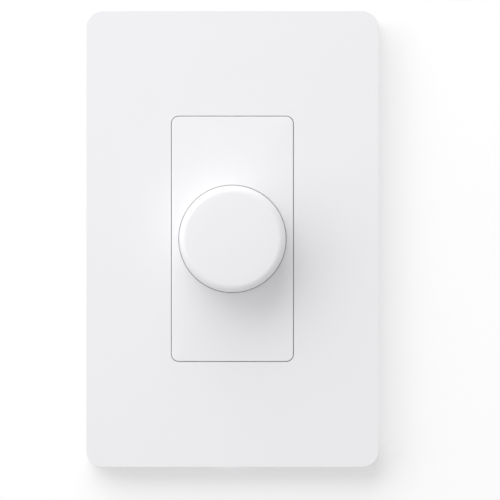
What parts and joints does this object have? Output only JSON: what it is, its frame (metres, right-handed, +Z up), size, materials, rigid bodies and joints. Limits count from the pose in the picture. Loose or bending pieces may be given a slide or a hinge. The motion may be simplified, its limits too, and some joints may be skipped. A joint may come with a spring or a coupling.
{
  "type": "smart dimmer switch",
  "caption": "White wall dimmer: screwless rectangular faceplate, flush rectangular insert and a round knob that turns without end and presses to switch.",
  "frame": {"origin": "middle of the wall box on the wall's surface, behind the middle of the faceplate", "axes": "+X to the right and +Z up as seen from the room, +Y into the wall"},
  "size_m": [0.0794, 0.0536, 0.1238],
  "materials": {
    "plate_white": "satin",
    "insert_white": "satin",
    "knob_white": "satin",
    "tray_white": "matt moulded",
    "yoke_steel": "zinc plated",
    "screw_steel": "zinc plated",
    "screw_white": "painted heads",
    "screw_green": "green dyed",
    "brass": "plain",
    "nickel": "nickel plated",
    "bushing_zinc": "die cast",
    "spring_steel": "bright",
    "contact_tin": "tinned",
    "encoder_black": "moulded",
    "rotor_cream": "moulded",
    "fibre": "pressed fibre",
    "board_green": "solder resist",
    "ferrite": "sintered",
    "copper_wire": "enamelled",
    "capacitor_yellow": "moulded",
    "can_aluminium": "sleeved",
    "fuse_black": "moulded",
    "varistor_blue": "dipped",
    "pad_grey": "soft",
    "housing_grey": "moulded"
  },
  "bodies": {
    "device": {"faceplate": "plate_white", "insert": "insert_white", "mounting_plate": "tray_white", "yoke": "yoke_steel", "radio_shield": "yoke_steel", "box_screws": "screw_steel", "housing_screws": "screw_steel", "board_screws": "screw_steel", "transistor_screws": "screw_steel", "encoder_nut": "screw_steel", "encoder_washer": "screw_steel", "encoder_frame": "screw_steel", "plate_screws": "screw_white", "ground_screw": "screw_green", "brass_screws": "brass", "terminal_brackets": "brass", "silver_screw": "nickel", "clamp_plates": "nickel", "encoder_bushing": "bushing_zinc", "push_dome": "spring_steel", "detent_spring": "spring_steel", "encoder_pins": "contact_tin", "encoder_base": "encoder_black", "controller_chip": "encoder_black", "board_link": "encoder_black", "screw_retainers": "fibre", "control_board": "board_green", "radio_board": "board_green", "power_board": "board_green", "choke_core": "ferrite", "transformer_core": "ferrite", "choke_winding": "copper_wire", "film_capacitor": "capacitor_yellow", "transformer_bobbin": "capacitor_yellow", "bulk_capacitors": "can_aluminium", "fuse": "fuse_black", "power_transistors": "fuse_black", "varistor": "varistor_blue", "thermal_pad": "pad_grey", "rear_housing": "housing_grey"},
    "rotor": {"encoder_rotor": "rotor_cream"},
    "knob": {"knob": "knob_white", "knob_clip": "spring_steel", "encoder_shaft": "bushing_zinc"}
  },
  "joints": [
    {"name": "knob_turn", "type": "hinge", "parent": "device", "child": "rotor", "pos_m": [0, 0, 0], "axis": [0, 1, 0], "continuous": true, "deforming": ["detent_spring"]},
    {"name": "knob_press", "type": "slide", "parent": "rotor", "child": "knob", "axis": [0, 1, 0], "range_m": [0, 0.0007], "stiffness_N_per_m": 2000, "springref_m": -0.001, "deforming": ["push_dome"]}
  ]
}
